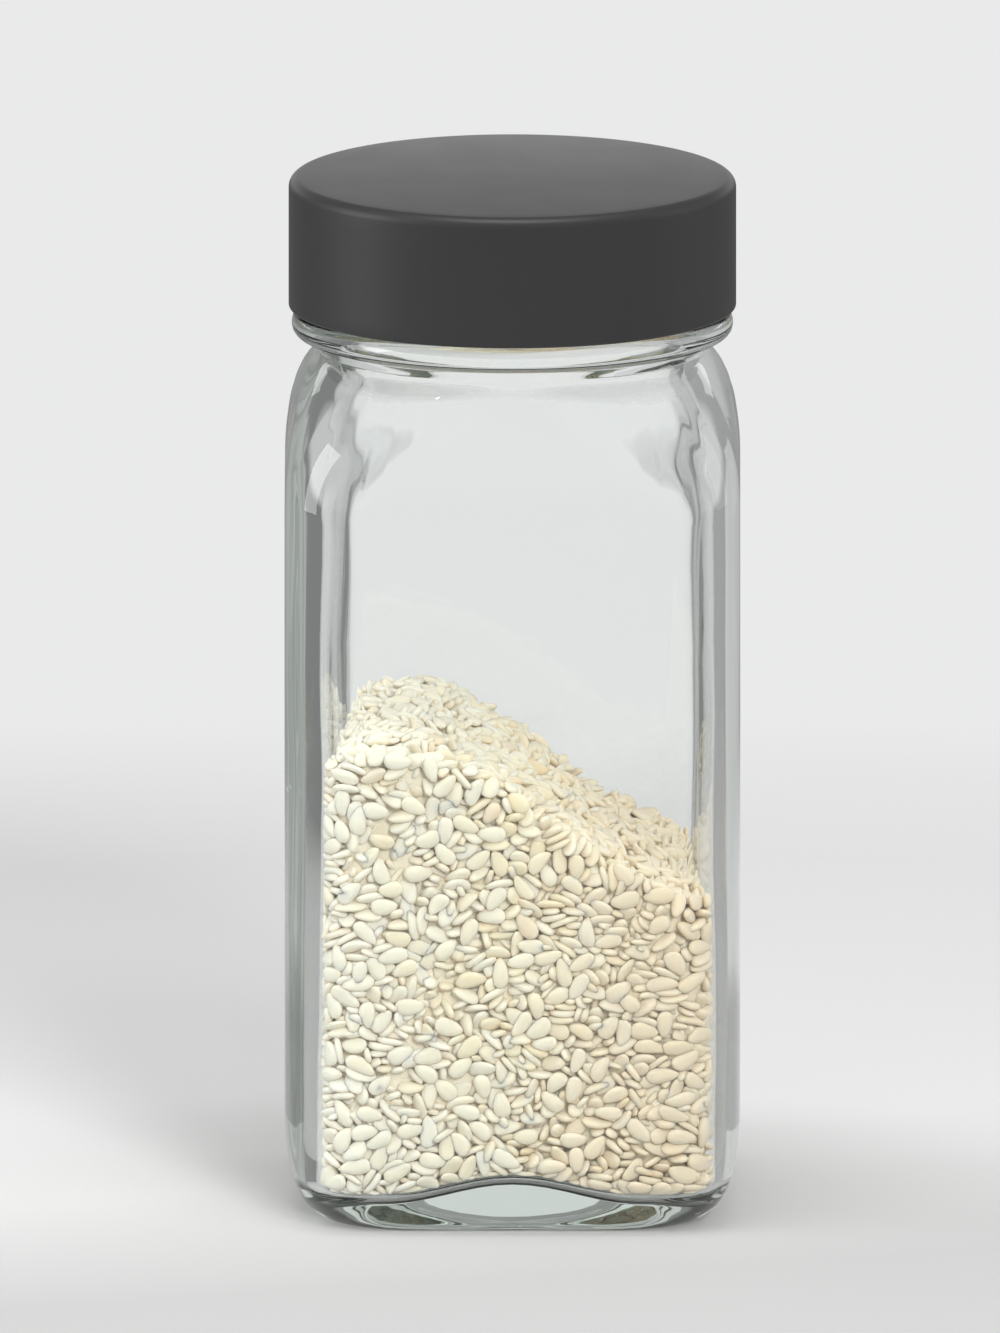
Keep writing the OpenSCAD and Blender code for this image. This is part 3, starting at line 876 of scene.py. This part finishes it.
def settle(rng, count, rounds):
    """Packs seeds, each a rigid plate of balls, into the outer layer of the heap until they hardly overlap."""
    box = np.array([[-22, -22, 4], [22, 22, HEAP_HIGH]], float)
    points = np.empty((0, 3))
    while len(points) < count:
        p = rng.uniform(box[0], box[1], (count * 4, 3))
        d = np.minimum(cavity_gap(p), top_gap(p))
        points = np.concatenate([points, p[(d > 0.6) & (d < SHELL)]])[:count]
    turn = random_turns(rng, count, points)
    grow = np.stack(
        [rng.normal(1.0, 0.075, count), rng.normal(1.0, 0.07, count), np.clip(rng.normal(1.0, 0.07, count), 0.85, 1.15)], -1
    )
    grow[:, :2] = np.clip(grow[:, :2], 0.84, 1.17)
    local = BALLS[None] * SEED_SIZE * grow[:, None]
    local = local - local.mean(1, keepdims=True)
    owner = np.repeat(np.arange(count), len(BALLS))
    r = BALL_R * 0.98
    p = points[:, None] + np.einsum("nij,nkj->nki", turn, local)
    for step in range(rounds):
        flat = p.reshape(-1, 3)
        if step < rounds * 0.6:
            flat[:, 2] -= 0.012
        pair = touching(flat, owner, 2 * r)
        a, b = pair
        d = flat[a] - flat[b]
        dist = np.maximum(np.linalg.norm(d, axis=1), 1e-6)
        push = d / dist[:, None] * ((2 * r - dist) * 0.5)[:, None]
        move = np.zeros_like(flat)
        hits = np.bincount(a, minlength=len(flat)) + np.bincount(b, minlength=len(flat))
        for k in range(3):
            move[:, k] = np.bincount(a, push[:, k], len(flat)) - np.bincount(b, push[:, k], len(flat))
        flat = flat + move / np.maximum(hits, 1)[:, None] * 1.25
        wall = cavity_gap(flat) - (r + 0.08)
        out = wall < 0
        if out.any():
            flat[out] -= gradient(cavity_gap, flat[out]) * wall[out][:, None]
        over = top_gap(flat) - 0.1
        out = over < 0
        if out.any():
            flat[out] -= gradient(top_gap, flat[out]) * over[out][:, None]
        deep = np.minimum(cavity_gap(flat), top_gap(flat)) - SHELL
        out = deep > 0
        if out.any():
            field = lambda q: np.minimum(cavity_gap(q), top_gap(q))
            flat[out] -= gradient(field, flat[out]) * deep[out][:, None]
        p = flat.reshape(count, -1, 3)
        centre = p.mean(1)
        cov = np.einsum("nki,nkj->nij", p - centre[:, None], local)
        u, _, vt = np.linalg.svd(cov)
        flip = np.linalg.det(u @ vt)
        u[:, :, 2] *= flip[:, None]
        turn = u @ vt
        p = centre[:, None] + np.einsum("nij,nkj->nki", turn, local)
    shift = (BALLS * SEED_SIZE * grow[:, None]).mean(1)
    return centre - np.einsum("nij,nj->ni", turn, shift), turn, grow


def fill_gaps(rng, centre, turn, grow):
    """Adds seeds that lie flat behind the openings in the packing, so that no bare core shows."""
    def depth(q):
        return np.minimum(cavity_gap(q), top_gap(q))

    balls = centre[:, None] + np.einsum("nij,nkj->nki", turn, BALLS * SEED_SIZE * grow[:, None])
    balls = balls.reshape(-1, 3)
    balls = balls[depth(balls) < 1.45]
    spots = rng.uniform([-22, -22, 4], [22, 22, HEAP_HIGH], (260000, 3))
    deep = depth(spots)
    spots = spots[(deep > 0.95) & (deep < 1.2)]
    near = np.concatenate([((q[:, None] - balls[None]) ** 2).sum(2).min(1) for q in np.array_split(spots, 60)])
    taken = np.empty((0, 3))
    for q in spots[near > 0.82**2]:
        if ((taken - q) ** 2).sum(1).min(initial=9) > 1.35**2:
            taken = np.concatenate([taken, q[None]])
    n = len(taken)
    normal = gradient(depth, taken) + rng.normal(size=(n, 3)) * 0.12
    normal /= np.linalg.norm(normal, axis=1)[:, None]
    lie = np.cross(normal, rng.normal(size=(n, 3)))
    lie /= np.linalg.norm(lie, axis=1)[:, None]
    added = np.stack([lie, np.cross(normal, lie), normal], -1)
    return np.concatenate([centre, taken]), np.concatenate([turn, added]), np.concatenate([grow, np.ones((n, 3))])


def seed_shape(rows, cols):
    """A flat teardrop seed, blunt at one end: points in mm, and how far along each lies."""
    t = (1 - np.cos(np.linspace(0, math.pi, rows + 2)[1:-1])) / 2
    round_end = np.sqrt(np.clip(4 * t * (1 - t), 0, 1))
    width = 1.06 * round_end**0.92 * (1.05 - 0.42 * t) / 0.93
    thick = 0.47 * round_end**0.6 * (1.04 - 0.22 * t)
    a = np.arange(cols) / cols * TAU
    c, s = np.cos(a), np.sin(a)
    y = np.sign(c) * np.abs(c) ** 0.9
    z = np.sign(s) * np.abs(s) ** 0.72
    x = -1.62 + 3.32 * t
    pts = np.stack(
        [np.repeat(x[:, None], cols, 1), width[:, None] * y[None], thick[:, None] * z[None]], -1
    ).reshape(-1, 3)
    pts = np.concatenate([pts, [[-1.66, 0, 0], [1.74, 0, 0]]])
    along = np.concatenate([np.repeat(t, cols), [0, 1]])
    n = rows * cols
    quads = ring_faces(rows, cols)
    tris = np.concatenate([fan(0, cols, n, True), fan(n - cols, cols, n + 1)])
    return pts * SEED_SIZE, along, quads, tris


def build_seeds():
    rng = np.random.default_rng(20)
    count = 7200
    centre, turn, grow = settle(rng, count, 12 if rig.quick() else 90)
    centre, turn, grow = fill_gaps(rng, centre, turn, grow)
    count = len(centre)
    pts, along, quads, tris = seed_shape(7, 10)
    n = len(pts)
    tone = rng.random(count)
    hue = rng.random(count)
    bend = rng.normal(0, 0.05, count)
    skew = rng.normal(0, 0.06, count)
    body = pts[None] * grow[:, None]
    body[:, :, 2] += bend[:, None] * (pts[None, :, 0] ** 2 - 1)
    body[:, :, 1] += skew[:, None] * (pts[None, :, 0] ** 2 - 1)
    world = thickened(centre)[:, None] + np.einsum("nij,nkj->nki", turn, body)
    # Seeds that lie wholly inside the core are left out
    flat = (centre[:, None] + np.einsum("nij,nkj->nki", turn, body)).reshape(-1, 3)
    shown = (np.minimum(cavity_gap(flat), top_gap(flat)).reshape(count, n) < HIDDEN_AT).any(1)
    x, y = centre[:, 0], centre[:, 1]
    top = top_gap(centre) < 1.6
    side = np.where(np.abs(x) > np.abs(y), np.where(x > 0, 1, 3), np.where(y > 0, 2, 0))
    group = np.where(top, 4, side)
    for k, name in enumerate(("front", "right", "back", "left", "top")):
        picked = np.flatnonzero((group == k) & shown)
        picked = picked[np.argsort(centre[picked, 2])]
        for layer, pick in enumerate(np.array_split(picked, -(-len(picked) // PIECE_SEEDS))):
            base = (np.arange(len(pick)) * n)[:, None, None]
            faces = [(quads[None] + base).reshape(-1, 4), (tris[None] + base).reshape(-1, 3)]
            floats = {
                "seed_tone": np.repeat(tone[pick], n),
                "seed_hue": np.repeat(hue[pick], n),
                "seed_along": np.tile(along, len(pick)),
            }
            label = f"sesame_{name}_{layer + 1}"
            obj = piece(label, world[pick].reshape(-1, 3), faces, SEED, "jar", "sesame", floats)
            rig.replaces(obj, "sesame_seeds")


def build_core():
    """The heap behind its outer seeds, a little inside them."""
    inset = 1.5
    w, r = INNER_HALF_W - inset, INNER_CORNER_R - inset
    rings = []
    for k in np.linspace(0.1, 1, 8):
        p = ring(square_radius(ANGLES, (FLOOR_HALF_W - 0.5) * k, FLOOR_CORNER_R * k), 0)
        p[:, 2] = floor_at(p[:, 0], p[:, 1]) + inset
        rings.append(p)
    side = ring(square_radius(ANGLES, w, r), 0)
    for k in np.linspace(0, 1, 12)[1:]:
        p = side.copy()
        low = floor_at(p[:, 0], p[:, 1]) + FLOOR_FILLET
        p[:, 2] = low * (1 - k) + (heap_at(p[:, 0]) - inset * 1.3) * k
        rings.append(p)
    for k in np.linspace(1, 0.1, 10)[1:]:
        p = side * k
        p[:, 2] = heap_at(p[:, 0]) - inset * 1.3
        rings.append(p)
    pts = np.concatenate(rings)
    n = len(pts)
    pts[:, :2] += np.stack([waves(pts, 0.25, 11, 1.3), waves(pts, 0.25, 12, 1.3)], -1)
    pts = thickened(pts)
    pts = np.concatenate([pts, [[0, 0, FLOOR_Z + inset], [0, 0, float(heap_at(np.array(0.0))) - inset * 1.3]]])
    faces = [
        ring_faces(len(rings), COLS),
        np.concatenate([fan(0, COLS, n, True), fan(n - COLS, COLS, n + 1)]),
    ]
    core = piece("sesame_core", pts, faces, CORE, "jar", "sesame")
    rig.replaces(core, "sesame_seeds")


build_seeds()
build_core()


# ---- Stage, lamps and camera ----
FLOOR_NEAR, FLOOR_FAR = 0.19, 0.27
BACKDROP = 0.82
AMBIENT = 0.52
ROOM_DEPTH = 0.76
ROOM_ABOVE = 0.3
ROOM_RIGHT = 0.72
SKY = ((0.0, 0.754), (0.3, 0.754), (0.42, 0.6), (0.62, 0.6), (0.8, 1.0))
ROOM_FLOOR = 0.6


def build_floor():
    cols, rows = 96, 24
    r = np.linspace(0, 1, rows + 1)[1:] ** 1.2 * FLOOR_FAR / MM
    a = np.arange(cols) / cols * TAU
    pts = np.stack([r[:, None] * np.cos(a), r[:, None] * np.sin(a), np.zeros((rows, cols)) - 0.02], -1).reshape(-1, 3)
    pts = np.concatenate([pts, [[0, 0, -0.02]]])
    m = Nodes("pale_floor")
    spot = m.add("VectorMath", {0: m.coords()}, operation="LENGTH").outputs["Value"]
    edge = m.remap(spot, FLOOR_NEAR, FLOOR_FAR, 0.0, 1.0)
    soft = m.ramp(edge, [(0.0, grey(0.0)), (1.0, grey(1.0))])
    # Painted shade: the paper is painted a little darker towards the right of its front edge, where less light falls
    side = m.add("VectorMath", {0: m.coords(), 1: (0.3, -0.954, 0)}, operation="DOT_PRODUCT").outputs["Value"]
    pale = m.ramp(m.remap(side, -0.01, 0.045, 0.0, 1.0), [(0.0, grey(0.585)), (1.0, grey(0.44))])
    tone = m.mix(m.remap(m.noise(9, 2.0, 0.5), 0.35, 0.65, 0.0, 0.08), pale, grey(0.5))
    # Painted shade: the floor is painted darker when seen through the glass after a reflection, less so near the jar's
    # foot. When seen straight through the glass it is painted a touch darker
    path = m.add("LightPath")
    through = path.outputs["Is Transmission Ray"]
    bent = m.math("MULTIPLY", m.math("GREATER_THAN", path.outputs["Glossy Depth"], 0.5), through)
    caught = m.math("GREATER_THAN", path.outputs["Glossy Depth"], 2.5)
    room = m.remap(spot, 0.026, 0.05, 0.25 * ROOM_FLOOR, ROOM_FLOOR)
    dimmed = m.math("MULTIPLY", m.math("MAXIMUM", bent, caught), room)
    seen = m.mix(m.math("MAXIMUM", dimmed, m.math("MULTIPLY", through, 0.03)), tone, grey(0.1))
    matt = m.add("BsdfDiffuse", {"Color": seen})
    clear = m.add("BsdfTransparent")
    mixed = m.add("MixShader", {0: soft, 1: matt.outputs[0], 2: clear.outputs[0]})
    mat = m.shader(mixed.outputs[0])
    faces = [ring_faces(rows, cols), fan(0, cols, rows * cols, True)]
    floor = piece("stage_floor", pts, faces, mat, None, None)
    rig.stage(floor)


def build_world():
    world = bpy.data.worlds.new("studio")
    bpy.context.scene.world = world
    world.use_nodes = True
    tree = world.node_tree
    tree.nodes.clear()
    out = tree.nodes.new("ShaderNodeOutputWorld")
    path = tree.nodes.new("ShaderNodeLightPath")

    def math_node(op, a, b):
        n = tree.nodes.new("ShaderNodeMath")
        n.operation = op
        for k, v in enumerate((a, b)):
            if isinstance(v, bpy.types.NodeSocket):
                tree.links.new(v, n.inputs[k])
            else:
                n.inputs[k].default_value = v
        return n.outputs[0]

    seen = math_node("MAXIMUM", path.outputs["Is Camera Ray"], path.outputs["Is Transmission Ray"])
    # Glass edges are drawn by what lies beside the backdrop: a darker room, level with the jar
    place = tree.nodes.new("ShaderNodeTexCoord").outputs["Generated"]
    split = tree.nodes.new("ShaderNodeSeparateXYZ")
    tree.links.new(place, split.inputs[0])
    rise = math_node("ABSOLUTE", math_node("ADD", split.outputs["Z"], 0.1), 0.0)
    level = tree.nodes.new("ShaderNodeMapRange")
    tree.links.new(rise, level.inputs["Value"])
    for key, v in (("From Min", 0.25), ("From Max", 0.5), ("To Min", ROOM_DEPTH), ("To Max", 0.0)):
        level.inputs[key].default_value = v
    once = math_node("GREATER_THAN", path.outputs["Glossy Depth"], 0.5)
    often = math_node("GREATER_THAN", path.outputs["Glossy Depth"], 2.5)
    bent = math_node("MULTIPLY", once, path.outputs["Is Transmission Ray"])
    shown = tree.nodes.new("ShaderNodeBackground")
    shown.inputs["Color"].default_value = (BACKDROP, BACKDROP * 1.002, BACKDROP * 1.004, 1)
    # Seen through glass the backdrop makes up for what the walls reflect, and shines from above
    above = tree.nodes.new("ShaderNodeMapRange")
    tree.links.new(split.outputs["Z"], above.inputs["Value"])
    for key, v in (("From Min", -0.2), ("From Max", 0.6), ("To Min", 0.0), ("To Max", 1.0)):
        above.inputs[key].default_value = v
    sky = tree.nodes.new("ShaderNodeValToRGB")
    tree.links.new(above.outputs["Result"], sky.inputs["Fac"])
    steps = sky.color_ramp.elements
    while len(steps) < len(SKY):
        steps.new(0.5)
    for spot, (pos, v) in zip(steps, SKY):
        spot.position = pos
        spot.color = (v, v, v, 1)
    straight = math_node("SUBTRACT", path.outputs["Is Transmission Ray"], bent)
    extra = math_node("MULTIPLY", math_node("SUBTRACT", math_node("MULTIPLY", sky.outputs[0], 1.4), 1.0), straight)
    side = tree.nodes.new("ShaderNodeMapRange")
    tree.links.new(split.outputs["X"], side.inputs["Value"])
    for key, v in (("From Min", -0.3), ("From Max", 0.3), ("To Min", 1.0), ("To Max", ROOM_RIGHT)):
        side.inputs[key].default_value = v
    depth = math_node("MAXIMUM", level.outputs["Result"], ROOM_ABOVE)
    dark = math_node("MULTIPLY", bent, math_node("MULTIPLY", depth, side.outputs["Result"]))
    tree.links.new(
        math_node("SUBTRACT", math_node("ADD", 1.0, extra), dark), shown.inputs["Strength"]
    )
    light = tree.nodes.new("ShaderNodeBackground")
    light.inputs["Color"].default_value = (1, 1, 1, 1)
    shine = math_node("MULTIPLY", path.outputs["Is Glossy Ray"], math_node("SUBTRACT", 0.24, math_node("MULTIPLY", often, 0.36)))
    tree.links.new(math_node("SUBTRACT", AMBIENT, shine), light.inputs["Strength"])
    mix = tree.nodes.new("ShaderNodeMixShader")
    tree.links.new(seen, mix.inputs[0])
    tree.links.new(light.outputs[0], mix.inputs[1])
    tree.links.new(shown.outputs[0], mix.inputs[2])
    tree.links.new(mix.outputs[0], out.inputs["Surface"])


def lamp(name, place, aim, width, height, power, glossy=True):
    data = bpy.data.lights.new(name, "AREA")
    data.shape = "RECTANGLE"
    data.size, data.size_y = width, height
    data.energy = power
    obj = bpy.data.objects.new(name, data)
    bpy.context.scene.collection.objects.link(obj)
    from mathutils import Vector

    obj.location = place
    obj.rotation_euler = (Vector(aim) - Vector(place)).to_track_quat("-Z", "Y").to_euler()
    obj.visible_camera = False
    obj.visible_transmission = False
    obj.visible_glossy = glossy
    return obj


def build_camera():
    """The photograph is a parallel view to the eye, from a little above."""
    view_up = math.radians(11.2)
    aim = np.array([-1.36, 0.0, 59.03]) * MM
    frame_height, far = 0.14622, 2.0
    data = bpy.data.cameras.new("photo_camera")
    data.type = "ORTHO"
    data.ortho_scale = frame_height
    data.sensor_fit = "AUTO"
    data.clip_start = 0.01
    data.clip_end = 20
    cam = bpy.data.objects.new("photo_camera", data)
    bpy.context.scene.collection.objects.link(cam)
    cam.location = aim + far * np.array([0.0, -math.cos(view_up), math.sin(view_up)])
    cam.rotation_euler = (math.pi / 2 - view_up, 0, 0)
    bpy.context.scene.camera = cam


build_floor()
build_world()
lamp("top_soft", (0.0, -0.1, 1.1), (0, 0, 0.05), 0.7, 0.7, 1.5, False)
lamp("glint", (-0.02, -0.15, 0.9), (0, 0, 0.11), 0.45, 0.1, 3.0)
lamp("front_key", (0.32, -1.02, 0.56), (0, 0, 0.05), 0.25, 0.25, 11.6, False)
lamp("front_fill", (-0.3, -1.1, 0.36), (0, 0, 0.05), 1.3, 0.7, 1.7, False)
lamp("left_soft", (-0.9, -0.1, 0.35), (0, 0, 0.06), 0.4, 0.7, 3.7)
lamp("right_soft", (0.9, 0.15, 0.35), (0, 0, 0.06), 0.4, 0.7, 0.7)
lamp("back_soft", (0.0, 0.055, 0.1235), (0, 0.0, 0.114), 0.14, 0.012, 0.0085)
build_camera()
bpy.context.scene.view_settings.view_transform = "Standard"

bpy.context.view_layer.update()
visual_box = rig.bounds()
with open("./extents.json", "w") as f:
    json.dump({"cad": [list(c) for c in cad_box], "visual": [list(c) for c in visual_box]}, f)
